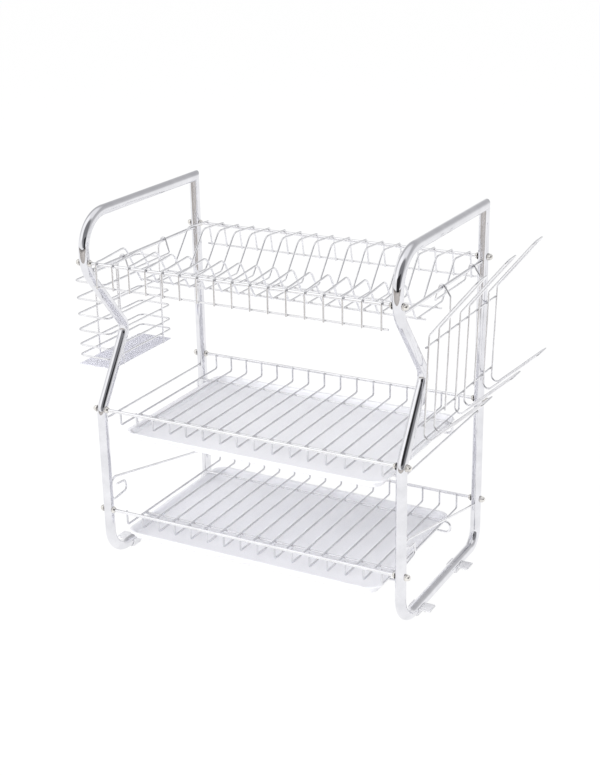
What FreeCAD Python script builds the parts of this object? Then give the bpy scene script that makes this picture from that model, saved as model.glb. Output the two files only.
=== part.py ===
import FreeCAD, Part
import Sketcher

import math
import os

from FreeCAD import Placement, Rotation, Vector

# Three tier dish drying rack: two bent side frames, three wire racks bolted between them,
# two drip trays, a hanging cutlery basket and a hanging board rack.
# X runs from the basket side to the board rack side, Y from front to back, Z up from the floor.

DIMENSIONS = [
    ("shift_x", "-11"),
    ("shift_y", "-147"),
    ("frame_span", "500"),
    ("frame_depth", "288"),
    ("tube_radius", "8"),
    ("tube_bore", "7"),
    ("neck_bore", "6"),
    ("neck_gap", "0.05"),
    ("neck_length", "30"),
    ("foot_height", "10"),
    ("joint_height", "243"),
    ("top_height", "558"),
    ("nose_reach", "17"),
    ("nose_height", "479"),
    ("waist_depth", "74"),
    ("waist_height", "368"),
    ("nose_top_bend", "52"),
    ("nose_bend", "60"),
    ("waist_bend", "20"),
    ("knee_bend", "30"),
    ("toe_bend", "40"),
    ("heel_bend", "28"),
    ("lower_bolt_height", "87"),
    ("middle_bolt_height", "255"),
    ("plate_front_depth", "-16"),
    ("plate_front_height", "490"),
    ("plate_back_height", "481"),
    ("bolt_hole", "2.6"),
    ("rail_radius", "2.5"),
    ("rail_length", "526"),
    ("wire_radius", "1.5"),
    ("cross_radius", "2"),
    ("rod_radius", "2.5"),
    ("rod_height", "475"),
    ("brace_radius", "1.75"),
    ("brace_height", "237"),
    ("floor_count", "16"),
    ("floor_pitch", "29.2"),
    ("floor_drop", "22"),
    ("floor_bend", "4"),
    ("front_cross_depth", "58"),
    ("back_cross_depth", "237"),
    ("cross_half", "228"),
    ("cradle_reach", "28"),
    ("cradle_bend", "8"),
    ("divider_count", "17"),
    ("divider_pitch", "28.5"),
    ("valley_height", "437"),
    ("long_wire_length", "474"),
    ("tray_width", "434"),
    ("tray_depth", "284"),
    ("tray_front", "-7"),
    ("tray_rise", "12"),
    ("tray_wall", "1.8"),
    ("tray_lip", "5"),
    ("tray_corner", "22"),
    ("tray_drop", "6.4"),
    ("middle_tray_offset", "5"),
    ("lower_tray_offset", "-2"),
    ("hanger_gap", "0.3"),
    ("hanger_inner", "239.5"),
    ("hanger_shoulder", "463"),
    ("hanger_inner_height", "455"),
    ("basket_inner", "263"),
    ("basket_width", "59"),
    ("basket_front", "48"),
    ("basket_length", "172"),
    ("basket_corner", "8"),
    ("basket_floor", "302"),
    ("mesh_thickness", "1.2"),
    ("basket_hook_front", "78"),
    ("basket_hook_back", "190"),
    ("board_centre", "188"),
    ("board_pitch", "112"),
    ("board_half_gap", "17.5"),
    ("board_inner", "260"),
    ("board_bar_length", "264"),
    ("board_upper_bar", "412"),
    ("board_lower_bar", "301"),
    ("board_lean", "14"),
    ("board_hook_half", "56"),
    ("washer_radius", "5.5"),
    ("washer_thickness", "1.2"),
    ("nut_radius", "4.6"),
    ("nut_height", "6"),
    ("collar_length", "4"),
    ("clip_radius", "10"),
    ("clip_length", "22"),
    ("clip_tab", "17"),
    ("clip_tab_thickness", "2.4"),
    ("clip_front", "59"),
    ("clip_back", "205"),
]

DOC = FreeCAD.newDocument("dish_drying_rack")
SHEET = DOC.addObject("Spreadsheet::Sheet", "Dims")
for row, (alias, value) in enumerate(DIMENSIONS, start=1):
    SHEET.set(f"A{row}", alias)
    SHEET.set(f"B{row}", value)
    SHEET.setAlias(f"B{row}", alias)
DOC.recompute()

NODES = []


def dim(alias):
    """One driving dimension, in millimetres."""
    return float(SHEET.get(alias))


def bind(obj, prop, text):
    """Bind a property to the sheet, writing each alias as plain words."""
    for alias, _ in sorted(DIMENSIONS, key=lambda pair: -len(pair[0])):
        text = text.replace(f"<{alias}>", f"Dims.{alias}")
    obj.setExpression(prop, text)


def finish_node(obj, node):
    """Name a sub-part and move it from the frame corner to the rack's own origin."""
    obj.Label = node
    NODES.append((node, obj))
    return obj


def shift(obj, x="0 mm", y="0 mm", z="0 mm"):
    """Bind the place of an object to the rack's origin plus an offset."""
    bind(obj, "Placement.Base.x", f"<shift_x> * 1 mm + {x}")
    bind(obj, "Placement.Base.y", f"<shift_y> * 1 mm + {y}")
    bind(obj, "Placement.Base.z", z)


# ---------------------------------------------------------------- bent paths


def bent_path(points, bends, closed=False):
    """Straight runs joined by arcs, as a list of Part edges; bends[i] is the radius at points[i]."""
    points = [Vector(*p) for p in points]
    count = len(points)
    corners = range(count) if closed else range(1, count - 1)
    cut = {}
    for i in corners:
        before, here, after = points[i - 1], points[i], points[(i + 1) % count]
        one = (before - here).normalize()
        two = (after - here).normalize()
        if bends[i] <= 0:
            cut[i] = (here, here, here)
            continue
        half = one.getAngle(two) / 2
        run = bends[i] / math.tan(half)
        middle = (one + two).normalize()
        reach = bends[i] / math.sin(half) - bends[i]
        cut[i] = (here + one * run, here + middle * reach, here + two * run)
    edges = []
    spans = range(count) if closed else range(count - 1)
    for i in spans:
        j = (i + 1) % count
        start = cut[i][2] if i in cut else points[i]
        end = cut[j][0] if j in cut else points[j]
        if start.distanceToPoint(end) > 1e-6:
            edges.append(Part.LineSegment(start, end).toShape())
        if j in cut and bends[j] > 0:
            edges.append(Part.Arc(*cut[j]).toShape())
    return edges


def swept_wire(node, points, bends, radius, closed=False):
    """A round wire bent in space: a circle swept along straight runs and arcs."""
    edges = bent_path(points, bends, closed)
    path = DOC.addObject("Part::Feature", node + "_path")
    path.Shape = Part.Wire(edges)
    start = edges[0].valueAt(edges[0].FirstParameter)
    heading = edges[0].tangentAt(edges[0].FirstParameter)
    circle = DOC.addObject("Part::Circle", node + "_section")
    bind(circle, "Radius", f"<{radius}> * 1 mm")
    circle.Placement = Placement(start, Rotation(Vector(0, 0, 1), heading))
    sweep = DOC.addObject("Part::Sweep", node)
    sweep.Sections = [circle]
    sweep.Spine = (path, [f"Edge{i + 1}" for i in range(len(edges))])
    sweep.Solid = True
    sweep.Frenet = False
    sweep.Transition = "Right corner"
    shift(sweep)
    return finish_node(sweep, node)


def joined_halves(node, paths, bends, radius):
    """A closed loop of wire made of two halves that meet end to end."""
    halves = []
    for index, points in enumerate(paths):
        halves.append(swept_wire(f"{node}_half_{index}", points, bends, radius))
        NODES.pop()
    loop = DOC.addObject("Part::MultiFuse", node)
    loop.Shapes = halves
    return finish_node(loop, node)


def straight_bar(node, radius, length, y, z, x="0"):
    """A straight round bar along X, centred on x."""
    bar = DOC.addObject("Part::Cylinder", node)
    bind(bar, "Radius", f"<{radius}> * 1 mm")
    bind(bar, "Height", f"({length}) * 1 mm")
    bar.Placement = Placement(Vector(), Rotation(Vector(0, 1, 0), 90))
    shift(bar, f"(({x}) - ({length}) / 2) * 1 mm", f"({y}) * 1 mm", f"({z}) * 1 mm")
    return finish_node(bar, node)


def depth_bar(node, radius, x, start, end, z):
    """A straight round bar along Y."""
    bar = DOC.addObject("Part::Cylinder", node)
    bind(bar, "Radius", f"<{radius}> * 1 mm")
    bind(bar, "Height", f"(({end}) - ({start})) * 1 mm")
    bar.Placement = Placement(Vector(), Rotation(Vector(1, 0, 0), -90))
    shift(bar, f"({x}) * 1 mm", f"({start}) * 1 mm", f"({z}) * 1 mm")
    return finish_node(bar, node)


# ---------------------------------------------------------------- bodies with sketches


def new_body(node):
    """A PartDesign body that may hold several separate solids."""
    body = DOC.addObject("PartDesign::Body", node)
    body.AllowCompound = True
    return body


def plane(body, role):
    """One of the body's own origin planes or axes."""
    return next(item for item in body.Origin.OriginFeatures if item.Role == role)


def sketch_on(body, role, name, offset=None):
    """A sketch on an origin plane of its body, lifted along the plane's normal."""
    sketch = body.newObject("Sketcher::SketchObject", name)
    sketch.AttachmentSupport = [(plane(body, role), "")]
    sketch.MapMode = "FlatFace"
    if offset is not None:
        bind(sketch, "AttachmentOffset.Base.z", f"({offset}) * 1 mm")
    return sketch


def draw_circle(sketch, x, y, radius):
    """A circle whose radius and centre are constrained."""
    size = dim(radius)
    shape = sketch.addGeometry(Part.Circle(Vector(x, y, 0), Vector(0, 0, 1), size))
    index = sketch.addConstraint(Sketcher.Constraint("Radius", shape, size))
    bind(sketch, f"Constraints[{index}]", f"<{radius}> * 1 mm")
    sketch.addConstraint(Sketcher.Constraint("DistanceX", -1, 1, shape, 3, x))
    sketch.addConstraint(Sketcher.Constraint("DistanceY", -1, 1, shape, 3, y))
    return shape


def draw_edges(sketch, edges):
    """Straight runs and arcs as sketch geometry."""
    for edge in edges:
        curve = edge.Curve
        if isinstance(curve, Part.Line):
            ends = [vertex.Point for vertex in edge.Vertexes]
            sketch.addGeometry(Part.LineSegment(ends[0], ends[1]))
        else:
            middle = edge.valueAt((edge.FirstParameter + edge.LastParameter) / 2)
            first = edge.valueAt(edge.FirstParameter)
            last = edge.valueAt(edge.LastParameter)
            sketch.addGeometry(Part.Arc(first, middle, last))


def side_pipe(body, name, points, bends, radius, bore=None):
    """Sweep a round section along a path in the YZ plane; the path starts straight up or down."""
    spine = sketch_on(body, "YZ_Plane", name + "_spine")
    draw_edges(spine, bent_path([(y, z, 0) for y, z in points], bends))
    section = sketch_on(body, "XY_Plane", name + "_section", offset=str(points[0][1]))
    draw_circle(section, 0, points[0][0], radius)
    if bore:
        draw_circle(section, 0, points[0][0], bore)
    DOC.recompute()
    pipe = body.newObject("PartDesign::AdditivePipe", name)
    pipe.Profile = section
    pipe.Spine = (spine, [])
    pipe.Transition = "Right corner"
    pipe.Mode = "Standard"
    body.Tip = pipe
    return pipe


def cross_hole(body, name, spots, radius):
    """Round holes drilled along X right through the tube."""
    before = body.Shape.Volume
    sketch = sketch_on(body, "YZ_Plane", name + "_sketch")
    for y, z in spots:
        draw_circle(sketch, y, z, radius)
    pocket = body.newObject("PartDesign::Pocket", name)
    pocket.Profile = sketch
    pocket.Type = "ThroughAll"
    pocket.Midplane = True
    body.Tip = pocket
    DOC.recompute()
    if body.Shape.Volume >= before:
        raise RuntimeError(f"{name} removed nothing")
    return pocket


def row_of(body, feature, name, count, pitch):
    """Repeat a feature along X."""
    pattern = body.newObject("PartDesign::LinearPattern", name)
    pattern.Originals = [feature]
    pattern.Direction = (plane(body, "X_Axis"), [""])
    bind(pattern, "Length", f"(<{count}> - 1) * <{pitch}> * 1 mm")
    bind(pattern, "Occurrences", f"<{count}>")
    body.Tip = pattern
    return pattern


# ---------------------------------------------------------------- side frames


def upper_frame(side, sign):
    """Rear post, mitred top corner, rounded nose and waisted front, with a neck at each lower end."""
    body = new_body("upper_frame_" + side)
    back = dim("frame_depth")
    joint = dim("joint_height")
    knee = dim("middle_bolt_height")
    points = [
        (back, joint),
        (back, dim("top_height")),
        (-dim("nose_reach"), dim("top_height")),
        (-dim("nose_reach"), dim("nose_height")),
        (dim("waist_depth"), dim("waist_height")),
        (0, knee),
        (0, joint),
    ]
    bends = [0, 0, dim("nose_top_bend"), dim("nose_bend"), dim("waist_bend"), dim("knee_bend"), 0]
    side_pipe(body, "tube_" + side, points, bends, "tube_radius", "tube_bore")
    DOC.recompute()
    neck = sketch_on(body, "XY_Plane", "neck_sketch_" + side, offset="<joint_height>")
    outer = dim("tube_bore") - dim("neck_gap")
    for y in (0, back):
        neck.addGeometry(Part.Circle(Vector(0, y, 0), Vector(0, 0, 1), outer))
        draw_circle(neck, 0, y, "neck_bore")
    pad = body.newObject("PartDesign::Pad", "necks_" + side)
    pad.Profile = neck
    pad.Reversed = True
    bind(pad, "Length", "<neck_length> * 1 mm")
    body.Tip = pad
    collar = sketch_on(body, "XY_Plane", "collar_sketch_" + side, offset="<joint_height>")
    for y in (0, back):
        draw_circle(collar, 0, y, "tube_bore")
        draw_circle(collar, 0, y, "neck_bore")
    ring = body.newObject("PartDesign::Pad", "collars_" + side)
    ring.Profile = collar
    ring.Length = 2
    body.Tip = ring
    DOC.recompute()
    spots = [
        (0, knee),
        (back, knee),
        (dim("plate_front_depth"), dim("plate_front_height")),
        (back, dim("plate_back_height")),
    ]
    cross_hole(body, "bolt_holes_" + side, spots, "bolt_hole")
    shift(body, f"{sign} * <frame_span> / 2 * 1 mm")
    return finish_node(body, "upper_frame_" + side)


def lower_frame(side, sign):
    """Front leg, floor run and rear leg in one bend of tube."""
    body = new_body("lower_frame_" + side)
    back = dim("frame_depth")
    points = [
        (0, dim("joint_height")),
        (0, dim("foot_height")),
        (back, dim("foot_height")),
        (back, dim("joint_height")),
    ]
    bends = [0, dim("toe_bend"), dim("heel_bend"), 0]
    side_pipe(body, "leg_" + side, points, bends, "tube_radius", "tube_bore")
    DOC.recompute()
    low = dim("lower_bolt_height")
    cross_hole(body, "leg_holes_" + side, [(0, low), (back, low)], "bolt_hole")
    shift(body, f"{sign} * <frame_span> / 2 * 1 mm")
    return finish_node(body, "lower_frame_" + side)


def frame_rods(side, sign):
    """Hanging rod near the top and brace wire under the middle bolts, welded inside the frame."""
    x = f"{sign} * <frame_span> / 2"
    end = "<frame_depth> - <tube_radius> + 0.1"
    depth_bar("hanging_rod_" + side, "rod_radius", x, "-1.9", end, "<rod_height>")
    depth_bar("brace_wire_" + side, "brace_radius", x, "<tube_radius> - 0.1", end, "<brace_height>")


def scroll_wire(side, sign):
    """Wire rising from the rear leg to a curl behind the front leg."""
    x = sign * dim("frame_span") / 2
    leg = dim("tube_radius") + dim("brace_radius")
    low = dim("lower_bolt_height")
    points = [
        (x, dim("frame_depth") - dim("tube_radius") + 0.1, low - 7),
        (x, leg, low + 50),
        (x, leg, low + 10),
        (x, 50, low + 14),
        (x, 46, low + 31),
        (x, 24, low + 33),
    ]
    swept_wire("scroll_wire_" + side, points, [0, 12, 9, 7, 4, 0], "brace_radius")


# ---------------------------------------------------------------- middle and lower racks


def wire_rack(name, height):
    """Two rails, U shaped floor wires and two cross wires whose ends cradle the tray."""
    bolt = f"<{height}>"
    straight_bar(name + "_front_rail", "rail_radius", "<rail_length>", "0", bolt)
    straight_bar(name + "_back_rail", "rail_radius", "<rail_length>", "<frame_depth>", bolt)
    rail = dim(height)
    inset = dim("rail_radius") + dim("wire_radius")
    back = dim("frame_depth")
    floor = rail - dim("floor_drop")
    body = new_body(name + "_floor_wires")
    top = rail + dim("wire_radius")
    points = [(inset, top), (inset, floor), (back - inset, floor), (back - inset, top)]
    bend = dim("floor_bend")
    pipe = side_pipe(body, name + "_floor_wire", points, [0, bend, bend, 0], "wire_radius")
    row_of(body, pipe, name + "_floor_row", "floor_count", "floor_pitch")
    shift(body, "-(<floor_count> - 1) * <floor_pitch> / 2 * 1 mm")
    finish_node(body, name + "_floor_wires")
    upper = floor - dim("wire_radius") - dim("cross_radius")
    lower = floor - dim("tray_drop") - dim("tray_rise") - dim("cross_radius") - 0.3
    half = dim("cross_half")
    tip = half - dim("cradle_reach")
    for place, depth in (("front", "front_cross_depth"), ("back", "back_cross_depth")):
        y = dim(depth)
        points = [
            (-tip, y, lower),
            (-half, y, lower),
            (-half, y, upper),
            (half, y, upper),
            (half, y, lower),
            (tip, y, lower),
        ]
        bends = [0] + [dim("cradle_bend")] * 4 + [0]
        swept_wire(f"{name}_{place}_cross_wire", points, bends, "cross_radius")


def rounded_rectangle(sketch, width, depth, x, y, corner):
    """A rectangle with round corners, centred on x and starting at y."""
    points = [
        (x - width / 2, y, 0),
        (x + width / 2, y, 0),
        (x + width / 2, y + depth, 0),
        (x - width / 2, y + depth, 0),
    ]
    draw_edges(sketch, bent_path(points, [corner] * 4, closed=True))


def drip_tray(name, height):
    """Shallow tray with flared walls and a flat lip round the top."""
    body = new_body(name)
    top = dim(height) - dim("floor_drop") - dim("tray_drop")
    wall = dim("tray_wall")
    lip = dim("tray_lip")
    rise = dim("tray_rise")
    width = dim("tray_width") - 2 * lip
    depth = dim("tray_depth") - 2 * lip
    front = dim("tray_front") + lip
    corner = dim("tray_corner")
    flare = 2.0
    names = ("lip", "skin_top", "skin_bottom", "well_top", "well_bottom")
    levels = (top - wall, top - wall, top - rise, top, top - rise + wall)
    insets = (-lip, 0, flare, wall, flare + wall)
    sketches = []
    for label, level, inset in zip(names, levels, insets):
        sketch = sketch_on(body, "XY_Plane", f"{name}_{label}", offset=str(level))
        spans = (width - 2 * inset, depth - 2 * inset)
        rounded_rectangle(sketch, *spans, 0, front + inset, corner - inset)
        sketches.append(sketch)
    DOC.recompute()
    skin = body.newObject("PartDesign::AdditiveLoft", name + "_skin")
    skin.Profile = sketches[1]
    skin.Sections = [sketches[2]]
    skin.Ruled = True
    body.Tip = skin
    rim = body.newObject("PartDesign::Pad", name + "_rim")
    rim.Profile = sketches[0]
    bind(rim, "Length", "<tray_wall> * 1 mm")
    body.Tip = rim
    well = body.newObject("PartDesign::SubtractiveLoft", name + "_well")
    well.Profile = sketches[3]
    well.Sections = [sketches[4]]
    well.Ruled = True
    body.Tip = well
    shift(body, f"<{name}_offset> * 1 mm")
    return finish_node(body, name)


# ---------------------------------------------------------------- plate rack


def tangent_beyond(point, centre, reach, extra):
    """The point a little past where a line from point touches the upper side of a circle."""
    dy = centre[0] - point[0]
    dz = centre[1] - point[1]
    span = math.hypot(dy, dz)
    heading = math.atan2(dz, dy) + math.asin(reach / span)
    run = math.sqrt(span * span - reach * reach) + extra
    return point[0] + run * math.cos(heading), point[1] + run * math.sin(heading)


def plate_rack():
    """Front and back rails, long wires and the row of humped divider wires."""
    wire = dim("wire_radius")
    reach = dim("rail_radius") + wire
    front = dim("plate_front_depth")
    rail = dim("plate_front_height")
    back = (dim("frame_depth"), dim("plate_back_height"))
    valley = dim("valley_height")
    span = "<rail_length>"
    straight_bar("plate_front_rail", "rail_radius", span, "<plate_front_depth>", "<plate_front_height>")
    straight_bar("plate_back_rail", "rail_radius", span, "<frame_depth>", "<plate_back_height>")
    crest = (230, back[1] + 8)
    shoulder = tangent_beyond(crest, back, reach, 4)
    heel = (shoulder[0] + 8, 442.5)
    points = [
        (front - reach, rail - 35.5),
        (front - reach, rail + reach),
        (front + 10, rail + reach),
        (54, rail + reach + 5),
        (93, valley),
        (186, valley),
        crest,
        shoulder,
        heel,
    ]
    bends = [0, reach, 40, 14, 6, 6, 16, 4, 0]
    body = new_body("plate_dividers")
    pipe = side_pipe(body, "divider", points, bends, "wire_radius")
    row_of(body, pipe, "divider_row", "divider_count", "divider_pitch")
    shift(body, "-(<divider_count> - 1) * <divider_pitch> / 2 * 1 mm")
    finish_node(body, "plate_dividers")
    long_wire = "<long_wire_length>"
    straight_bar("plate_prong_wire", "wire_radius", long_wire, str(front - reach + 2 * wire), str(rail - 34))
    for place, y in (("front", 107), ("back", 164)):
        straight_bar(f"plate_{place}_valley_wire", "wire_radius", long_wire, str(y), str(valley - 2 * wire))
    lean = math.atan2(heel[0] - shoulder[0], shoulder[1] - heel[1])
    y = heel[0] - 1.5 * math.tan(lean) + 2 * wire / math.cos(lean)
    straight_bar("plate_tail_wire", "wire_radius", long_wire, str(y), "444")


# ---------------------------------------------------------------- hanging wires


def tangent_line(point, centre, reach, side):
    """Unit heading of the line from point that touches a circle on the given side."""
    dx = centre[0] - point[0]
    dz = centre[1] - point[1]
    turn = side * math.asin(reach / math.hypot(dx, dz))
    heading = math.atan2(dz, dx) + turn
    return math.cos(heading), math.sin(heading)


def hanger_profile(face):
    """Shoulder, apex and inner foot of a hook that fits closely over a hanging rod, right side."""
    rod = (dim("frame_span") / 2, dim("rod_height"))
    reach = dim("rod_radius") + dim("wire_radius") + dim("hanger_gap")
    shoulder = (face, dim("hanger_shoulder"))
    foot = (dim("hanger_inner"), dim("hanger_inner_height"))
    one = tangent_line(shoulder, rod, reach, -1)
    two = tangent_line(foot, rod, reach, 1)
    cross = one[0] * two[1] - one[1] * two[0]
    gap = (foot[0] - shoulder[0], foot[1] - shoulder[1])
    run = (gap[0] * two[1] - gap[1] * two[0]) / cross
    apex = (shoulder[0] + run * one[0], shoulder[1] + run * one[1])
    return shoulder, apex, foot, reach


def hanging_wire(node, sign, face, near, far, low, lean=0, knee=None):
    """One wire: up the face, over the rod, along the inner side, back over the rod and down."""
    shoulder, apex, foot, reach = hanger_profile(face)
    arch = [(sign * x, z) for x, z in (shoulder, apex, foot)]
    points = [(sign * face, near - lean, low)]
    bends = [0]
    if knee:
        points.append((sign * face, near, knee))
        bends.append(20)
    points += [(x, near, z) for x, z in arch]
    points += [(x, far, z) for x, z in reversed(arch)]
    bends += [5, reach, 4, 4, reach, 5]
    if knee:
        points.append((sign * face, far, knee))
        bends.append(20)
    points.append((sign * face, far - lean, low))
    bends.append(0)
    return swept_wire(node, points, bends, "wire_radius")


# ---------------------------------------------------------------- cutlery basket


def basket():
    """Six wire rings and a mesh floor hung from one long hooked wire."""
    wire = dim("wire_radius")
    inner = -dim("basket_inner")
    outer = inner - dim("basket_width")
    front = dim("basket_front")
    length = dim("basket_length")
    floor = dim("basket_floor")
    half = dim("mesh_thickness") / 2
    rings = DOC.addObject("Part::Compound", "basket_rings")
    links = []
    for index, z in enumerate((437, 409, 383, 358, 334, 317)):
        middle = (inner + outer) / 2
        points = [
            (middle, front, z),
            (inner, front, z),
            (inner, front + length, z),
            (outer, front + length, z),
            (outer, front, z),
        ]
        corner = dim("basket_corner")
        sweep = swept_wire(f"ring_{index}", points, [0] + [corner] * 4, "wire_radius", closed=True)
        NODES.pop()
        sweep.setExpression("Placement.Base.x", None)
        sweep.setExpression("Placement.Base.y", None)
        sweep.Placement = Placement()
        links.append(sweep)
    rings.Links = links
    shift(rings)
    finish_node(rings, "basket_rings")
    face = dim("basket_inner") - 2 * wire
    near = dim("basket_hook_front")
    far = dim("basket_hook_back")
    hanging_wire("basket_hook_wire", -1, face, near, far, floor - half)
    posts = DOC.addObject("Part::Compound", "basket_uprights")
    links = []
    for index, y in enumerate((105, 163)):
        post = DOC.addObject("Part::Cylinder", f"upright_{index}")
        bind(post, "Radius", "<wire_radius> * 1 mm")
        bind(post, "Height", f"({437 + wire} - <basket_floor> + <mesh_thickness> / 2) * 1 mm")
        post.Placement = Placement(Vector(outer - 2 * wire, y, floor - half), Rotation())
        links.append(post)
    posts.Links = links
    shift(posts)
    finish_node(posts, "basket_uprights")
    plate = DOC.addObject("Part::Box", "basket_floor_mesh")
    bind(plate, "Length", "(<basket_width> + 3 * <wire_radius> - 1.5) * 1 mm")
    bind(plate, "Width", "(<basket_length> - 7) * 1 mm")
    bind(plate, "Height", "<mesh_thickness> * 1 mm")
    offset = "(-<basket_inner> - <basket_width> - <wire_radius>) * 1 mm"
    shift(plate, offset, "(<basket_front> + 1) * 1 mm", "(<basket_floor> - <mesh_thickness> / 2) * 1 mm")
    finish_node(plate, "basket_floor_mesh")


# ---------------------------------------------------------------- board rack


def board_rack():
    """Three narrow finger loops on two bars, hung from a hooked wire."""
    wire = dim("wire_radius")
    centre = dim("board_centre")
    inner = dim("board_inner")
    knee = 429
    foot = 272
    face = inner + 2 * wire
    gap = dim("board_half_gap")
    names = ("front", "middle", "back")

    def lean_at(z):
        """How far forward the holder leans at a height below its knee."""
        return dim("board_lean") * max(0, knee - z) / (knee - foot)

    for name, step in zip(names, (-1, 0, 1)):
        y = centre + step * dim("board_pitch")
        profile = [(face + 68, knee + 84), (face, knee), (face, foot), (face + 84, foot + 74)]
        paths = []
        for edge in (-gap, gap):
            start, *_, end = profile
            path = [(start[0], y, start[1])]
            path += [(x, y + edge - lean_at(z), z) for x, z in profile]
            path.append((end[0], y - lean_at(end[1]), end[1]))
            paths.append(path)
        joined_halves("board_finger_" + name, paths, [0, 7, 7, 8, 7, 0], "wire_radius")
    for place in ("upper", "lower"):
        middle = f"<board_centre> - {lean_at(dim('board_' + place + '_bar'))}"
        start = f"{middle} - <board_bar_length> / 2"
        end = f"{middle} + <board_bar_length> / 2"
        depth_bar(f"board_{place}_bar", "wire_radius", "<board_inner>", start, end, f"<board_{place}_bar>")
    low = dim("board_lower_bar") - 3
    near = centre - dim("board_hook_half")
    far = centre + dim("board_hook_half")
    hanging_wire("board_hook_wire", 1, face, near, far, low, lean_at(low), knee)


# ---------------------------------------------------------------- fasteners and feet


def bolt_spots():
    """Depth and height of the six bolts of one side frame."""
    back = dim("frame_depth")
    return [
        (0, dim("lower_bolt_height")),
        (back, dim("lower_bolt_height")),
        (0, dim("middle_bolt_height")),
        (back, dim("middle_bolt_height")),
        (dim("plate_front_depth"), dim("plate_front_height")),
        (back, dim("plate_back_height")),
    ]


def at_every_bolt(node, base, x):
    """Twelve copies of a fastener, six on each frame, facing outward."""
    DOC.recompute()
    copies = []
    for sign in (-1, 1):
        for y, z in bolt_spots():
            copy = base.Shape.copy()
            turn = Rotation(Vector(0, 1, 0), 90 * sign)
            copy.Placement = Placement(Vector(sign * x, y, z), turn)
            copies.append(copy)
    group = DOC.addObject("Part::Feature", node)
    group.Shape = Part.makeCompound(copies)
    shift(group)
    return finish_node(group, node)


def fasteners():
    """Domed cap nuts and flat washers outside the tubes, tapered collars inside."""
    surface = dim("frame_span") / 2 + dim("tube_radius")
    washer = DOC.addObject("Part::Cylinder", "washer_disc")
    bind(washer, "Radius", "<washer_radius> * 1 mm")
    bind(washer, "Height", "<washer_thickness> * 1 mm")
    bore = DOC.addObject("Part::Cylinder", "washer_bore")
    bind(bore, "Radius", "<bolt_hole> * 1 mm")
    bind(bore, "Height", "<washer_thickness> * 1 mm")
    ring = DOC.addObject("Part::Cut", "washer_ring")
    ring.Base = washer
    ring.Tool = bore
    at_every_bolt("outer_washers", ring, surface)
    body = new_body("cap_nut")
    sketch = sketch_on(body, "XZ_Plane", "cap_nut_section")
    radius = dim("nut_radius")
    height = dim("nut_height")
    stud = dim("rail_radius") + 0.02
    depth = height - 1.4
    corners = [
        (stud, 0),
        (radius, 0),
        (radius, 2.8),
        (radius - 0.9, 3.4),
        (radius - 1.4, 4.8),
        (1.9, 5.7),
        (0, height),
        (0, depth),
        (stud, depth),
    ]
    for one, two in zip(corners, corners[1:] + corners[:1]):
        sketch.addGeometry(Part.LineSegment(Vector(*one, 0), Vector(*two, 0)))
    DOC.recompute()
    turned = body.newObject("PartDesign::Revolution", "cap_nut_turned")
    turned.Profile = sketch
    turned.ReferenceAxis = (sketch, ["V_Axis"])
    turned.Angle = 360
    body.Tip = turned
    at_every_bolt("cap_nuts", body, surface + dim("washer_thickness"))
    cone = DOC.addObject("Part::Cone", "collar_cone")
    bind(cone, "Radius1", "<washer_radius> * 1 mm")
    bind(cone, "Radius2", "(<washer_radius> - 2) * 1 mm")
    bind(cone, "Height", "<collar_length> * 1 mm")
    hole = DOC.addObject("Part::Cylinder", "collar_bore")
    bind(hole, "Radius", "<bolt_hole> * 1 mm")
    bind(hole, "Height", "<collar_length> * 1 mm")
    collar = DOC.addObject("Part::Cut", "collar_ring")
    collar.Base = cone
    collar.Tool = hole
    DOC.recompute()
    copies = []
    for sign in (-1, 1):
        for y, z in bolt_spots():
            copy = collar.Shape.copy()
            turn = Rotation(Vector(0, 1, 0), -90 * sign)
            inside = sign * (dim("frame_span") / 2 - dim("tube_radius"))
            copy.Placement = Placement(Vector(inside, y, z), turn)
            copies.append(copy)
    group = DOC.addObject("Part::Feature", "inner_collars")
    group.Shape = Part.makeCompound(copies)
    shift(group)
    finish_node(group, "inner_collars")


def foot_clip(node, sign, y):
    """Plastic clip under the floor run with a flat tab pointing outward."""
    body = new_body(node)
    sketch = sketch_on(body, "XZ_Plane", node + "_section")
    outer = dim("clip_radius")
    inner = dim("tube_radius")
    height = dim("foot_height")
    rise = math.radians(20)
    sole = math.radians(50)
    thick = dim("clip_tab_thickness")
    tab_top = math.asin(thick / outer)
    reach = inner + dim("clip_tab")

    def rim(radius, angle):
        return Vector(sign * radius * math.cos(angle), height + radius * math.sin(angle), 0)

    flat = outer * math.cos(sole)
    points = [
        rim(inner, rise),
        rim(outer, rise),
        rim(outer, tab_top),
        Vector(sign * reach, height + thick, 0),
        Vector(sign * reach, height, 0),
        rim(outer, 0),
        rim(outer, -sole),
        Vector(sign * flat, 0, 0),
        Vector(-sign * flat, 0, 0),
        rim(outer, math.pi + sole),
        rim(outer, math.pi - rise),
        rim(inner, math.pi - rise),
    ]
    middles = {
        1: rim(outer, (rise + tab_top) / 2),
        5: rim(outer, -sole / 2),
        9: rim(outer, math.pi + (sole - rise) / 2),
        11: rim(inner, -math.pi / 2),
    }
    for index, point in enumerate(points):
        after = points[(index + 1) % len(points)]
        if index in middles:
            sketch.addGeometry(Part.Arc(point, middles[index], after))
        else:
            sketch.addGeometry(Part.LineSegment(point, after))
    DOC.recompute()
    pad = body.newObject("PartDesign::Pad", node + "_pad")
    pad.Profile = sketch
    pad.Midplane = True
    bind(pad, "Length", "<clip_length> * 1 mm")
    body.Tip = pad
    shift(body, f"{sign} * <frame_span> / 2 * 1 mm", f"<{y}> * 1 mm")
    return finish_node(body, node)


# ---------------------------------------------------------------- whole rack


def check(obj):
    """Stop on any object that failed to compute."""
    if any(state in ("Invalid", "Error") for state in obj.State):
        raise RuntimeError(f"{obj.Name}: {obj.State}")


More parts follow.
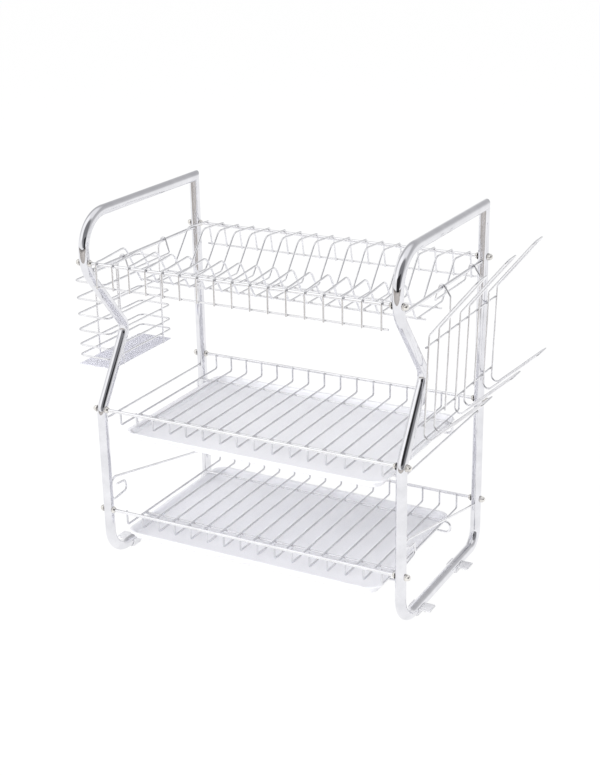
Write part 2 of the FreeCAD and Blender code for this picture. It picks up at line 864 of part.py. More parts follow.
def build():
    for side, sign in (("left", -1), ("right", 1)):
        upper_frame(side, sign)
        lower_frame(side, sign)
        frame_rods(side, sign)
        scroll_wire(side, sign)
        foot_clip("foot_clip_front_" + side, sign, "clip_front")
        foot_clip("foot_clip_back_" + side, sign, "clip_back")
    plate_rack()
    wire_rack("middle", "middle_bolt_height")
    wire_rack("lower", "lower_bolt_height")
    drip_tray("middle_tray", "middle_bolt_height")
    drip_tray("lower_tray", "lower_bolt_height")
    basket()
    board_rack()
    fasteners()
    DOC.recompute()


def export():
    for obj in DOC.Objects:
        check(obj)
    os.makedirs("parts", exist_ok=True)
    low = [1e9] * 3
    high = [-1e9] * 3
    for node, obj in NODES:
        shape = obj.Shape
        if shape.isNull() or not shape.isValid():
            raise RuntimeError(f"{node}: bad shape")
        box = shape.BoundBox
        for axis, (least, most) in enumerate(
            ((box.XMin, box.XMax), (box.YMin, box.YMax), (box.ZMin, box.ZMax))
        ):
            low[axis] = min(low[axis], least)
            high[axis] = max(high[axis], most)
        shape.exportStep(f"parts/{node}.step")
        print(node, len(shape.Solids), round(shape.Volume, 1))
    print("box", [round(v, 2) for v in low], [round(v, 2) for v in high])


build()
export()
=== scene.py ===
"""Looks of a three tier dish drying rack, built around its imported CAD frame."""

import math
import random

import bmesh
import bpy
from mathutils import Matrix, Vector


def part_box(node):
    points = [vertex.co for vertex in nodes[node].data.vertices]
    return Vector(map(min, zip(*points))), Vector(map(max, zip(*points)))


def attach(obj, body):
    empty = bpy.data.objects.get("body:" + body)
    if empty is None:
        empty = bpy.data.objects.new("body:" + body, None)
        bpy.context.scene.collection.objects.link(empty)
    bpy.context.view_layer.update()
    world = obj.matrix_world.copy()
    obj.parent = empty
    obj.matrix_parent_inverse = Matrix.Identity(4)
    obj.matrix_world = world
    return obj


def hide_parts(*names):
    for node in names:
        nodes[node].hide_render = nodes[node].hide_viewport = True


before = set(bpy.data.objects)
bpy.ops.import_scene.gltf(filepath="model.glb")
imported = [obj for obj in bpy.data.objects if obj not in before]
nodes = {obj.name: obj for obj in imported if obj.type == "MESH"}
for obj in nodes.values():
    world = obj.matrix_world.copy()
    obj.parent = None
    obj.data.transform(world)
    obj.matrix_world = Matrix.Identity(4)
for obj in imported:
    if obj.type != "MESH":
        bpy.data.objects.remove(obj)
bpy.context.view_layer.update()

MM = 0.001
ROOT = "rack"
SIDES = (("left", -1), ("right", 1))


# ---------------------------------------------------------------- materials


class Shade:
    """A node material with short calls for the nodes used here."""

    def __init__(self, name, colour, metallic, roughness):
        self.material = bpy.data.materials.new(name)
        self.material.use_nodes = True
        self.tree = self.material.node_tree
        self.shader = self.tree.nodes["Principled BSDF"]
        self.shader.inputs["Base Color"].default_value = (*colour, 1)
        self.shader.inputs["Metallic"].default_value = metallic
        self.shader.inputs["Roughness"].default_value = roughness

    def add(self, kind, **values):
        node = self.tree.nodes.new(kind)
        for key, value in values.items():
            if key in node.inputs:
                node.inputs[key].default_value = value
            else:
                setattr(node, key, value)
        return node

    def link(self, out, into):
        self.tree.links.new(out, into)

    def set(self, **values):
        for key, value in values.items():
            self.shader.inputs[key.replace("_", " ")].default_value = value

    def coords(self, stretch=(1, 1, 1)):
        where = self.add("ShaderNodeTexCoord")
        mapping = self.add("ShaderNodeMapping")
        mapping.inputs["Scale"].default_value = stretch
        self.link(where.outputs["Object"], mapping.inputs["Vector"])
        return mapping.outputs["Vector"]

    def noise(self, scale, detail=4.0, rough=0.55, stretch=(1, 1, 1)):
        node = self.add("ShaderNodeTexNoise")
        node.inputs["Scale"].default_value = scale
        node.inputs["Detail"].default_value = detail
        node.inputs["Roughness"].default_value = rough
        self.link(self.coords(stretch), node.inputs["Vector"])
        return node.outputs["Fac"]

    def ramp(self, value, low, high, dark, light):
        """Map a grey value to a colour or a number between dark and light."""
        node = self.add("ShaderNodeMapRange")
        node.inputs["From Min"].default_value = low
        node.inputs["From Max"].default_value = high
        self.link(value, node.inputs["Value"])
        if isinstance(dark, (int, float)):
            node.inputs["To Min"].default_value = dark
            node.inputs["To Max"].default_value = light
            return node.outputs["Result"]
        mix = self.add("ShaderNodeMix", data_type="RGBA")
        mix.inputs[6].default_value = (*dark, 1)
        mix.inputs[7].default_value = (*light, 1)
        self.link(node.outputs["Result"], mix.inputs[0])
        return mix.outputs[2]

    def bump(self, value, distance, strength=1.0):
        node = self.add("ShaderNodeBump")
        node.inputs["Strength"].default_value = strength
        node.inputs["Distance"].default_value = distance
        self.link(value, node.inputs["Height"])
        self.link(node.outputs["Normal"], self.shader.inputs["Normal"])


# Noise scales, in cells per metre.
HAZE = 38
WIPES = 160
RIPPLES = 420
TINT_DRIFT = 9
FROSTING = 900


def chrome(name, dark, light, rough_low, rough_high, wave=0.0):
    """Plated metal: faint haze and wiping marks in the gloss, tiny ripples in the plating."""
    shade = Shade(name, light, 1.0, rough_low)
    haze = shade.noise(HAZE, 5.0)
    shade.link(shade.ramp(haze, 0.35, 0.7, dark, light), shade.shader.inputs["Base Color"])
    wipes = shade.noise(WIPES, 3.0, 0.6, (1, 1, 0.25))
    rough = shade.ramp(wipes, 0.3, 0.75, rough_low, rough_high)
    shade.link(rough, shade.shader.inputs["Roughness"])
    if wave:
        shade.bump(shade.noise(RIPPLES, 2.0), wave)
    return shade.material


def plastic(name, dark, light, rough, grain):
    """Moulded plastic: slow tint drift and a fine frosted grain."""
    shade = Shade(name, light, 0.0, rough)
    drift = shade.noise(TINT_DRIFT, 3.0)
    shade.link(shade.ramp(drift, 0.3, 0.7, dark, light), shade.shader.inputs["Base Color"])
    fine = shade.noise(FROSTING, 2.0)
    gloss = shade.ramp(fine, 0.3, 0.7, rough * 0.85, rough * 1.2)
    shade.link(gloss, shade.shader.inputs["Roughness"])
    shade.bump(fine, grain, 0.4)
    return shade


tube_chrome = chrome("tube_chrome", (0.75, 0.75, 0.78), (0.85, 0.85, 0.88), 0.03, 0.07)
rail_chrome = chrome("rail_chrome", (0.88, 0.88, 0.90), (0.96, 0.96, 0.98), 0.10, 0.18)
wire_chrome = chrome("wire_chrome", (0.84, 0.84, 0.86), (0.95, 0.95, 0.97), 0.16, 0.26)
floor_wire = chrome("floor_wire", (0.70, 0.70, 0.73), (0.82, 0.82, 0.85), 0.16, 0.26)
accessory_chrome = chrome("accessory_chrome", (0.84, 0.84, 0.86), (0.95, 0.95, 0.97), 0.16, 0.26)
rod_chrome = chrome("rod_chrome", (0.86, 0.86, 0.88), (0.95, 0.95, 0.97), 0.14, 0.24)
weld_steel = chrome("weld_steel", (0.56, 0.55, 0.55), (0.74, 0.73, 0.74), 0.3, 0.45, 0.00005)
fastener = chrome("fastener", (0.70, 0.68, 0.65), (0.90, 0.88, 0.85), 0.12, 0.24, 0.00001)
mesh_steel = chrome("mesh_steel", (0.68, 0.68, 0.75), (0.76, 0.76, 0.82), 0.45, 0.6, 0.00002)
mesh_shader = mesh_steel.node_tree.nodes["Principled BSDF"]
mesh_shader.inputs["Metallic"].default_value = 0.2

tray_shade = plastic("tray_plastic", (0.80, 0.80, 0.835), (0.86, 0.86, 0.895), 0.30, 0.00002)
tray_shade.set(IOR=1.49, Subsurface_Weight=0.35, Subsurface_Scale=0.006)
tray_shade.set(Subsurface_Radius=(1.0, 1.0, 1.0))
tray_shade.set(Coat_Weight=0.15, Coat_Roughness=0.2)
tray_plastic = tray_shade.material
clip_shade = plastic("clip_plastic", (0.68, 0.68, 0.70), (0.78, 0.78, 0.80), 0.5, 0.00003)
clip_plastic = clip_shade.material

NODE_MATERIALS = (
    ("upper_frame", tube_chrome),
    ("lower_frame", tube_chrome),
    ("hanging_rod", rod_chrome),
    ("brace_wire", rod_chrome),
    ("foot_clip", clip_plastic),
    ("plate_front_rail", rail_chrome),
    ("plate_back_rail", rail_chrome),
    ("middle_front_rail", rail_chrome),
    ("middle_back_rail", rail_chrome),
    ("lower_front_rail", rail_chrome),
    ("lower_back_rail", rail_chrome),
    ("middle_floor_wires", floor_wire),
    ("lower_floor_wires", floor_wire),
    ("outer_washers", fastener),
    ("cap_nuts", fastener),
    ("inner_collars", fastener),
    ("basket_", accessory_chrome),
    ("board_", accessory_chrome),
    ("basket_floor_mesh", mesh_steel),
    ("middle_tray", tray_plastic),
    ("lower_tray", tray_plastic),
)
for name, node in nodes.items():
    material = wire_chrome
    for start, choice in NODE_MATERIALS:
        if name.startswith(start):
            material = choice
    for slot in node.material_slots:
        slot.material = material
    for face in node.data.polygons:
        face.use_smooth = True


# ---------------------------------------------------------------- mesh helpers


def add_mesh(name, mesh, body, material):
    """Make a mesh object that rides on a body."""
    obj = bpy.data.objects.new(name, mesh)
    bpy.context.scene.collection.objects.link(obj)
    mesh.materials.append(material)
    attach(obj, body)
    return obj


def from_bmesh(name, bm, body, material, smooth=True):
    """Close a bmesh and make its object."""
    bmesh.ops.recalc_face_normals(bm, faces=bm.faces)
    mesh = bpy.data.meshes.new(name)
    bm.to_mesh(mesh)
    bm.free()
    for face in mesh.polygons:
        face.use_smooth = smooth
    return add_mesh(name, mesh, body, material)


def loft(bm, rings, cap_start=True, cap_end=True):
    """Skin between rings of points that all have the same count."""
    made = [[bm.verts.new(point) for point in ring] for ring in rings]
    count = len(made[0])
    for one, two in zip(made, made[1:]):
        for i in range(count):
            j = (i + 1) % count
            bm.faces.new((one[i], one[j], two[j], two[i]))
    if cap_start:
        bm.faces.new(list(reversed(made[0])))
    if cap_end:
        bm.faces.new(made[-1])


def revolve(bm, profile, place, segments=28):
    """Turn a closed profile of (radius, height) about the local Z axis and put it at place."""
    rings = []
    for radius, height in profile:
        ring = []
        for i in range(segments):
            angle = 2 * math.pi * i / segments
            x, y = radius * math.cos(angle), radius * math.sin(angle)
            ring.append(place @ Vector((x, y, height)))
        rings.append(ring)
    loft(bm, rings + rings[:1], False, False)
    bmesh.ops.remove_doubles(bm, verts=bm.verts, dist=1e-7)


def centre(node):
    """Middle of a CAD node's box."""
    low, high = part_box(node)
    return (Vector(low) + Vector(high)) / 2


def sharpen(mesh, degrees=35):
    """Mark the edges that turn more than this as sharp."""
    mesh.set_sharp_from_angle(angle=math.radians(degrees))


# ---------------------------------------------------------------- drip trays

# Inset from the rim's outer edge and depth below its top, in millimetres: from the middle of the
# underside out and up the wall, over the rolled rim, and down into the well.
TRAY_PROFILE = (
    (60, 12.0),
    (12, 12.0),
    (9.4, 12.0),
    (8.3, 11.75),
    (7.4, 11.1),
    (6.9, 9.9),
    (6.1, 6.0),
    (5.3, 3.0),
    (4.7, 2.2),
    (3.6, 1.9),
    (2.2, 1.95),
    (1.5, 2.3),
    (0.9, 2.7),
    (0.3, 2.5),
    (0.0, 1.8),
    (0.15, 0.9),
    (0.7, 0.3),
    (1.7, 0.0),
    (4.6, 0.0),
    (5.8, 0.3),
    (6.6, 1.1),
    (7.4, 4.6),
    (8.4, 8.6),
    (9.0, 9.7),
    (10.2, 10.15),
    (12.5, 10.2),
    (60, 10.0),
)
TRAY_CORNER = 22
CORNER_STEPS = 12


def rounded_ring(low, high, inset, corner, z):
    """Points round a rectangle with round corners, anticlockwise."""
    x0, y0 = low[0] + inset, low[1] + inset
    x1, y1 = high[0] - inset, high[1] - inset
    corners = ((x1, y0, -90), (x1, y1, 0), (x0, y1, 90), (x0, y0, 180))
    points = []
    for x, y, start in corners:
        cx = x - corner if x == x1 else x + corner
        cy = y - corner if y == y1 else y + corner
        for step in range(CORNER_STEPS + 1):
            angle = math.radians(start + 90 * step / CORNER_STEPS)
            points.append((cx + corner * math.cos(angle), cy + corner * math.sin(angle), z))
    return points


def drip_tray(node, body):
    """Moulded tray with a rolled rim, filleted walls and a flat well."""
    low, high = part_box(node)
    rings = []
    for inset, depth in TRAY_PROFILE:
        corner = max(TRAY_CORNER - inset, 4) * MM
        rings.append(rounded_ring(low, high, inset * MM, corner, high[2] - depth * MM))
    bm = bmesh.new()
    loft(bm, rings)
    tray = from_bmesh(node + "_moulding", bm, body, tray_plastic)
    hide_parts(node)


drip_tray("middle_tray", "middle_tray_body")
drip_tray("lower_tray", "lower_tray_body")


# ---------------------------------------------------------------- fasteners

TIERS = ("plate", "middle", "lower")
RAILS = [f"{tier}_{place}_rail" for tier in TIERS for place in ("front", "back")]
WASHER = ((2.6, 0), (5.2, 0), (5.5, 0.2), (5.5, 0.95), (5.25, 1.2), (3.2, 1.2), (2.6, 1.1))
SLEEVE = (
    (2.6, 0),
    (5.4, 0),
    (5.5, 0.3),
    (5.3, 0.8),
    (4.6, 1.2),
    (4.5, 2.4),
    (3.9, 3.2),
    (3.4, 4),
    (2.6, 4),
)
HEX_FLAT = 4.3
WASHER_THICKNESS = 1.2
NUT_SEGMENTS = 36
NUT_SECTIONS = (
    (0.0, 1.0, 4.55),
    (0.35, 1.0, 4.95),
    (2.5, 1.0, 4.95),
    (2.9, 1.0, 4.5),
    (3.1, 0.0, 3.95),
    (3.9, 0.0, 3.85),
    (4.8, 0.0, 3.3),
    (5.5, 0.0, 2.2),
    (5.9, 0.0, 1.0),
    (6.0, 0.0, 0.25),
)


def facing_out(sign, x, y, z):
    """Place at a bolt with local Z pointing away from the rack."""
    return Matrix.Translation((x, y, z)) @ Matrix.Rotation(sign * math.pi / 2, 4, "Y")


def cap_nut(bm, place, turn):
    """Hexagon base with broken corners under a round dome."""
    rings = []
    for height, hexagon, limit in NUT_SECTIONS:
        ring = []
        for i in range(NUT_SEGMENTS):
            angle = math.tau * i / NUT_SEGMENTS
            within = (angle % (math.pi / 3)) - math.pi / 6
            flat = HEX_FLAT / math.cos(within) if hexagon else limit
            radius = min(flat, limit) * MM
            spot = (radius * math.cos(angle + turn), radius * math.sin(angle + turn), height * MM)
            ring.append(place @ Vector(spot))
        rings.append(ring)
    loft(bm, rings)


def fasteners():
    """Washers, dome nuts and inner sleeves at both ends of the six rails."""
    washers, nuts, sleeves = bmesh.new(), bmesh.new(), bmesh.new()
    draw = random.Random(11)
    for side, sign in SIDES:
        low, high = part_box("lower_frame_" + side)
        outer, inner = (high[0], low[0]) if sign > 0 else (low[0], high[0])
        for rail in RAILS:
            _, y, z = centre(rail)
            profile = [(r * MM, h * MM) for r, h in WASHER]
            revolve(washers, profile, facing_out(sign, outer, y, z))
            profile = [(r * MM, h * MM) for r, h in SLEEVE]
            revolve(sleeves, profile, facing_out(-sign, inner, y, z))
            seat = outer + sign * WASHER_THICKNESS * MM
            cap_nut(nuts, facing_out(sign, seat, y, z), draw.uniform(0, math.pi / 3))
    for name, bm, node in (
        ("bolt_washers", washers, "outer_washers"),
        ("dome_nuts", nuts, "cap_nuts"),
        ("inner_sleeves", sleeves, "inner_collars"),
    ):
        piece = from_bmesh(name, bm, ROOT, fastener)
        sharpen(piece.data)
        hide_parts(node)


fasteners()


# ---------------------------------------------------------------- foot clips

CLIP_OUTER = 10
CLIP_INNER = 8.05
CLIP_TAB = 2.4
CLIP_OPENING = 20
CLIP_SOLE = 50
CLIP_EDGE = 0.35


def arc(radius, start, end, steps, height):
    """Points on an arc about the tube's centre, in millimetres."""
    points = []
    for i in range(steps + 1):
        angle = math.radians(start + (end - start) * i / steps)
        points.append((radius * math.cos(angle), height + radius * math.sin(angle)))
    return points


def foot_clip(node, sign):
    """Moulded clip with a flat sole, a tab on its outer side and eased edges."""
    low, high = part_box(node)
    height = CLIP_OUTER
    tab_angle = math.degrees(math.asin(CLIP_TAB / CLIP_OUTER))
    reach = (high[0] - low[0]) / MM - CLIP_OUTER
    flat = CLIP_OUTER * math.cos(math.radians(CLIP_SOLE))
    outline = arc(CLIP_OUTER, CLIP_OPENING, tab_angle, 1, height)
    outline += [(reach, height + CLIP_TAB), (reach, height)]
    outline += arc(CLIP_OUTER, 0, -CLIP_SOLE, 6, height)
    outline += [(flat, 0), (-flat, 0)]
    outline += arc(CLIP_OUTER, 180 + CLIP_SOLE, 180 - CLIP_OPENING, 9, height)
    outline += arc(CLIP_INNER, 180 - CLIP_OPENING, 360 + CLIP_OPENING, 24, height)
    middle = high[0] - reach * MM if sign > 0 else low[0] + reach * MM
    rings = []
    for y in (low[1], high[1]):
        rings.append([(middle + sign * x * MM, y, z * MM) for x, z in outline])
    bm = bmesh.new()
    loft(bm, rings)
    bmesh.ops.recalc_face_normals(bm, faces=bm.faces)
    edges = [edge for edge in bm.edges if edge.calc_face_angle(0) > math.radians(40)]
    size = CLIP_EDGE * MM
    bmesh.ops.bevel(bm, geom=edges, offset=size, segments=2, affect="EDGES", profile=0.6)
    clip = from_bmesh(node + "_moulding", bm, ROOT, clip_plastic)
    sharpen(clip.data)
    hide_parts(node)


for side, sign in SIDES:
    foot_clip("foot_clip_front_" + side, sign)
    foot_clip("foot_clip_back_" + side, sign)


# ---------------------------------------------------------------- basket floor

HOLE_PITCH = 5.2
HOLE_RADIUS = 1.72
HOLE_SIDES = 8
SHEET_BORDER = 2


def perforated_floor():
    """Punched sheet with a plain border."""
    low, high = (Vector(corner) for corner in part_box("basket_floor_mesh"))
    size = high - low
    pitch = HOLE_PITCH * MM
    border = 2 * SHEET_BORDER * MM
    across = int((size.x - border) / pitch)
    along = int((size.y - border) / pitch)
    half = Vector((across, along)) * pitch / 2
    middle = (low + high) / 2
    bm = bmesh.new()

    def spot(x, y):
        return bm.verts.new((middle.x + x, middle.y + y, high.z))

    for i in range(across):
        for j in range(along):
            x = (i + 0.5) * pitch - half.x
            y = (j + 0.5) * pitch - half.y
            for k in range(HOLE_SIDES):
                quad = []
                for step, edge in ((k, True), (k + 1, True), (k + 1, False), (k, False)):
                    angle = math.tau / HOLE_SIDES * step
                    c, s = math.cos(angle), math.sin(angle)
                    if edge:
                        reach = pitch / 2 / max(abs(c), abs(s))
                    else:
                        reach = HOLE_RADIUS * MM
                    quad.append(spot(x + reach * c, y + reach * s))
                bm.faces.new(quad)
    grow = Vector((size.x / 2 / half.x, size.y / 2 / half.y))
    for i in range(2 * across):
        for side in (-1, 1):
            one = i / 2 * pitch - half.x
            two = (i + 1) / 2 * pitch - half.x
            y = side * half.y
            corners = ((one, y), (two, y), (two * grow.x, y * grow.y), (one * grow.x, y * grow.y))
            bm.faces.new([spot(*corner) for corner in corners])
    for j in range(2 * along):
        for side in (-1, 1):
            one = j / 2 * pitch - half.y
            two = (j + 1) / 2 * pitch - half.y
            x = side * half.x
            corners = ((x, one), (x, two), (x * grow.x, two * grow.y), (x * grow.x, one * grow.y))
            bm.faces.new([spot(*corner) for corner in corners])
    bmesh.ops.remove_doubles(bm, verts=bm.verts, dist=1e-6)
    bmesh.ops.recalc_face_normals(bm, faces=bm.faces)
    if sum(face.normal.z for face in bm.faces) < 0:
        bmesh.ops.reverse_faces(bm, faces=bm.faces)
    bmesh.ops.solidify(bm, geom=bm.faces[:], thickness=size.z)
    body, slot = "cutlery_basket", "mesh_steel"
    floor = from_bmesh("basket_perforated_floor", bm, body, mesh_steel, False)
    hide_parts("basket_floor_mesh")


perforated_floor()


# ---------------------------------------------------------------- weld beads

RAIL = 2.5 * MM
WIRE = 1.5 * MM
RING_HEIGHTS = (437, 409, 383, 358, 334, 317)
BOARD_KNEE = 429
BOARD_FOOT = 272
BOARD_LEAN = 14
BOARD_GAP = 17.5
BOARD_PITCH = 112
FLOOR_WIRES = 16
DIVIDERS = 17
BEAD = (1.9, 1.9, 1.5)
# Each rod's radius, and the fillet round it as distance outside the rod and height.
RODS = (("hanging_rod_", 2.5), ("brace_wire_", 1.75))
FILLET = ((-0.2, 0), (0.9, 0), (0.45, 0.5), (0.15, 1.0), (0, 1.6), (-0.2, 1.6))


def bead(bm, draw, place):
    """A small lump of weld, each a little different."""
    scale = [value * MM * draw.uniform(0.8, 1.15) for value in BEAD]
    turn = Matrix.Rotation(draw.uniform(0, 3), 4, "Z")
    matrix = Matrix.Translation(place) @ turn @ Matrix.Diagonal((*scale, 1))
    bmesh.ops.create_icosphere(bm, subdivisions=2, radius=1, matrix=matrix)


def row_places(node, count):
    """X of each wire in a row, from the row's box."""
    low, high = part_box(node)
    first, last = low[0] + WIRE, high[0] - WIRE
    return [first + (last - first) * i / (count - 1) for i in range(count)]


def rack_welds(bm, draw):
    """Where floor wires and dividers meet their rails and long wires."""
    for tier in ("middle", "lower"):
        spots = []
        for place, sign in (("front", 1), ("back", -1)):
            rail = centre(f"{tier}_{place}_rail")
            spots.append((rail.y + sign * RAIL, rail.z))
            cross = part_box(f"{tier}_{place}_cross_wire")
            spots.append((centre(f"{tier}_{place}_cross_wire").y, cross[1][2]))
        for x in row_places(tier + "_floor_wires", FLOOR_WIRES):
            for y, z in spots:
                bead(bm, draw, (x, y, z))
    spots = []
    rail = centre("plate_front_rail")
    spots.append((rail.y - 0.3 * RAIL, rail.z + RAIL))
    rail = centre("plate_back_rail")
    spots.append((rail.y, rail.z + RAIL))
    for name, dy, dz in (
        ("prong", -WIRE, 0),
        ("front_valley", 0, WIRE),
        ("back_valley", 0, WIRE),
        ("tail", -WIRE, 0.2 * WIRE),
    ):
        wire = centre(f"plate_{name}_wire")
        spots.append((wire.y + dy, wire.z + dz))
    for x in row_places("plate_dividers", DIVIDERS):
        for y, z in spots:
            bead(bm, draw, (x, y, z))


def rod_welds(bm, _draw):
    """Smooth fillets where the hanging rods and brace wires meet the tubes."""
    for side, _ in SIDES:
        for rod, radius in RODS:
            low, high = (Vector(corner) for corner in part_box(rod + side))
            middle = (low + high) / 2
            for y, way in ((low.y + 1.2 * MM, 1), (high.y - 0.1 * MM, -1)):
                turn = Matrix.Rotation(-way * math.pi / 2, 4, "X")
                place = Matrix.Translation((middle.x, y, middle.z)) @ turn
                profile = [((radius + out) * MM, up * MM) for out, up in FILLET]
                revolve(bm, profile, place, 20)


def basket_welds(bm, draw):
    """Where the rings meet the hooked wire and the uprights."""
    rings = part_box("basket_rings")
    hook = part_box("basket_hook_wire")
    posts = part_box("basket_uprights")
    for height in RING_HEIGHTS:
        z = height * MM
        for x, box in ((rings[1][0], hook), (rings[0][0], posts)):
            for y in (box[0][1] + WIRE, box[1][1] - WIRE):
                bead(bm, draw, (x, y, z))


def board_welds(bm, draw):
    """Where the bars meet the finger loops and the hooked wire."""
    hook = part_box("board_hook_wire")
    for bar in ("upper", "lower"):
        low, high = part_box(f"board_{bar}_bar")
        z = (low[2] + high[2]) / 2
        lean = BOARD_LEAN * (BOARD_KNEE - z / MM) / (BOARD_KNEE - BOARD_FOOT) * MM
        far = hook[1][1] - WIRE
        places = [far, far - BOARD_PITCH * MM]
        for name in ("front", "middle", "back"):
            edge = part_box("board_finger_" + name)[1][1] - WIRE
            places += [edge, edge - 2 * BOARD_GAP * MM]
        for y in places:
            bead(bm, draw, (high[0], y - lean, z))


for name, makers, body, slot in (
    ("rack_weld_beads", (rack_welds, rod_welds), ROOT, "chrome_wire"),
    ("basket_weld_beads", (basket_welds,), "cutlery_basket", "basket_wire"),
    ("board_weld_beads", (board_welds,), "board_rack", "board_wire"),
):
    bm = bmesh.new()
    draw = random.Random(5)
    for make in makers:
        make(bm, draw)
    from_bmesh(name, bm, body, weld_steel)


# ---------------------------------------------------------------- camera, floor and light


TABLE_EDGE = -1.05
TABLE_FAR = -7
TABLE_HALF = 6
FLAG_PLACE = (0.34, -0.62, 0.60)
FLAG_HALF = (0.27, 0.19)
CAMERA_TURN = (28.585, 20.592, -1.082)
CAMERA_TARGET = (0.024, -0.047, 0.3055)
CAMERA_DISTANCE = 2.0915
SENSOR = 36
LENS = 65.49959
LENS_SHIFT = (0.003737, -0.003041)
FLOOR_RADIUS = 30
WALL_RADIUS = 25
WALL_HEIGHT = 30
WALL_PANELS = 48
WHITE = (1, 1, 1, 1)


def build_camera():
    """A long lens from the front right, a little above the rack."""
    data = bpy.data.cameras.new("camera")
    camera = bpy.data.objects.new("camera", data)
    bpy.context.scene.collection.objects.link(camera)
    azimuth, elevation, roll = (math.radians(value) for value in CAMERA_TURN)
    back = Vector(
        (
            math.sin(azimuth) * math.cos(elevation),
            -math.cos(azimuth) * math.cos(elevation),
            math.sin(elevation),
        )
    )
    right = Vector((math.cos(azimuth), math.sin(azimuth), 0))
    up = back.cross(right)
    turned_right = right * math.cos(roll) + up * math.sin(roll)
    turned_up = up * math.cos(roll) - right * math.sin(roll)
    turn = Matrix((turned_right, turned_up, back)).transposed()
    place = Vector(CAMERA_TARGET) + back * CAMERA_DISTANCE
    camera.matrix_world = Matrix.Translation(place) @ turn.to_4x4()
    data.sensor_fit = "VERTICAL"
    data.sensor_height = SENSOR
    data.lens = LENS
    data.shift_x, data.shift_y = LENS_SHIFT
    data.clip_end = 100
    bpy.context.scene.camera = camera


def staged(name, bm, colour, glow=0.0):
    """Link a matt stage surface, with an even white glow if asked."""
    mesh = bpy.data.meshes.new(name)
    bm.to_mesh(mesh)
    bm.free()
    surface = bpy.data.objects.new(name, mesh)
    bpy.context.scene.collection.objects.link(surface)
    shade = Shade(name + "_paint", colour, 0.0, 0.9)
    shade.set(Specular_IOR_Level=0.0)
    if glow:
        shade.set(Emission_Strength=glow, Emission_Color=WHITE)
    mesh.materials.append(shade.material)
    return surface


def build_floor():
    """A wide pale floor."""
    bm = bmesh.new()
    bmesh.ops.create_circle(bm, cap_ends=True, segments=96, radius=FLOOR_RADIUS)
    staged("floor", bm, (0.08, 0.08, 0.08), 0.94)


def build_backdrop():
    """White wall far behind the floor, seen by the camera alone."""
    bm = bmesh.new()
    angles = [math.tau * i / WALL_PANELS for i in range(WALL_PANELS)]
    low, high = (
        [bm.verts.new((WALL_RADIUS * math.cos(a), WALL_RADIUS * math.sin(a), z)) for a in angles]
        for z in (0.0, WALL_HEIGHT)
    )
    for i in range(WALL_PANELS):
        j = (i + 1) % WALL_PANELS
        bm.faces.new((low[i], low[j], high[j], high[i]))
    wall = staged("backdrop", bm, (0, 0, 0), 1.0)
    wall.visible_diffuse = False
    wall.visible_glossy = False
    wall.visible_transmission = False
    wall.visible_shadow = False


def reflected_only(name, corners, colour):
    """A flat card that shows in reflections on the chrome and nowhere else."""
    bm = bmesh.new()
    bm.faces.new([bm.verts.new(corner) for corner in corners])
    card = staged(name, bm, colour)
    card.visible_camera = False
    card.visible_diffuse = False
    card.visible_shadow = False


def build_cards():
    """Warm grey table beyond the paper sweep and a black flag high in front."""
    x, z = TABLE_HALF, MM
    corners = ((-x, TABLE_FAR, z), (x, TABLE_FAR, z), (x, TABLE_EDGE, z), (-x, TABLE_EDGE, z))
    reflected_only("table", corners, (0.34, 0.32, 0.30))
    middle = Vector(FLAG_PLACE)
    across = Vector((0.85, 0.5, 0.0)).normalized() * FLAG_HALF[0]
    upward = Vector((-0.3, 0.45, 0.85)).normalized() * FLAG_HALF[1]
    ends = ((-1, -1), (1, -1), (1, 1), (-1, 1))
    corners = [middle + across * i + upward * j for i, j in ends]
    reflected_only("flag", corners, (0.035, 0.035, 0.037))


# Name, place, the point it faces, its two sides, and its power.
LIGHTS = (
    ("overhead", (0.2, -0.4, 3.2), (0, 0, 0.2), (4.5, 4.5), 20),
    ("side_fill", (-3.0, -1.2, 1.8), (0, 0, 0.3), (2.5, 2.5), 45),
    ("front_fill", (1.0, -2.9, 1.8), (0, 0, 0.2), (2.5, 2.0), 80),
)


def area_light(name, place, aim, size, power):
    """A soft box that lights the rack but doesn't show in its chrome."""
    data = bpy.data.lights.new(name, "AREA")
    data.shape = "RECTANGLE"
    data.size, data.size_y = size
    data.energy = power
    light = bpy.data.objects.new(name, data)
    light.location = place
    direction = Vector(aim) - Vector(place)
    light.rotation_euler = direction.to_track_quat("-Z", "Y").to_euler()
    light.visible_glossy = False
    bpy.context.scene.collection.objects.link(light)


# Height of a direction, from 0 at the horizon to 1 overhead, and the grey there.
SKY = ((0.0, (1.0, 1.0, 1.0)), (0.42, (0.56, 0.56, 0.57)), (0.66, (0.50, 0.50, 0.51)))
SKY += ((0.92, (0.95, 0.95, 0.96)),)
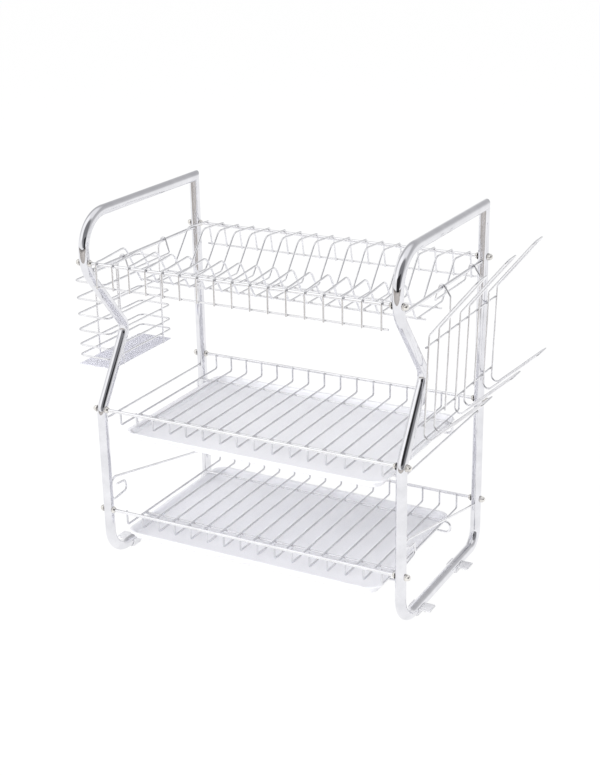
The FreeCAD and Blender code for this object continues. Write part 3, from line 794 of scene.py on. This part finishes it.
# Direction, cosine at the soft edge, cosine where the tone is full, and the tone.
SKY_PATCHES = (
    ((-0.50, -0.50, 0.70), 0.74, 0.90, (1.15, 1.15, 1.15)),
    ((0.50, -0.68, 0.54), 0.68, 0.84, (0.24, 0.24, 0.25)),
)


def build_world():
    """Soft studio surround: bright low down and overhead, grey between, and two patches."""
    world = bpy.data.worlds.new("studio")
    bpy.context.scene.world = world
    world.use_nodes = True
    tree = world.node_tree
    background = tree.nodes["Background"]
    where = tree.nodes.new("ShaderNodeTexCoord")
    split = tree.nodes.new("ShaderNodeSeparateXYZ")
    tree.links.new(where.outputs["Generated"], split.inputs["Vector"])
    height = tree.nodes.new("ShaderNodeValToRGB")
    height.color_ramp.interpolation = "EASE"
    stops = height.color_ramp.elements
    for i, (position, tone) in enumerate(SKY):
        stop = stops[i] if i < 2 else stops.new(position)
        stop.position = position
        stop.color = (*tone, 1)
    tree.links.new(split.outputs["Z"], height.inputs["Fac"])
    colour = height.outputs["Color"]
    for direction, edge, core, tone in SKY_PATCHES:
        aim = tree.nodes.new("ShaderNodeVectorMath")
        aim.operation = "DOT_PRODUCT"
        tree.links.new(where.outputs["Generated"], aim.inputs[0])
        aim.inputs[1].default_value = Vector(direction).normalized()
        inside = tree.nodes.new("ShaderNodeMapRange")
        inside.interpolation_type = "SMOOTHSTEP"
        inside.inputs["From Min"].default_value = edge
        inside.inputs["From Max"].default_value = core
        tree.links.new(aim.outputs["Value"], inside.inputs["Value"])
        mix = tree.nodes.new("ShaderNodeMix")
        mix.data_type = "RGBA"
        tree.links.new(inside.outputs["Result"], mix.inputs[0])
        tree.links.new(colour, mix.inputs[6])
        mix.inputs[7].default_value = (*tone, 1)
        colour = mix.outputs[2]
    tree.links.new(colour, background.inputs["Color"])
    background.inputs["Strength"].default_value = 1.0


build_camera()
build_floor()
build_backdrop()
build_cards()
build_world()
for name, place, aim, size, power in LIGHTS:
    area_light(name, place, aim, size, power)
bpy.context.scene.view_settings.view_transform = "Standard"
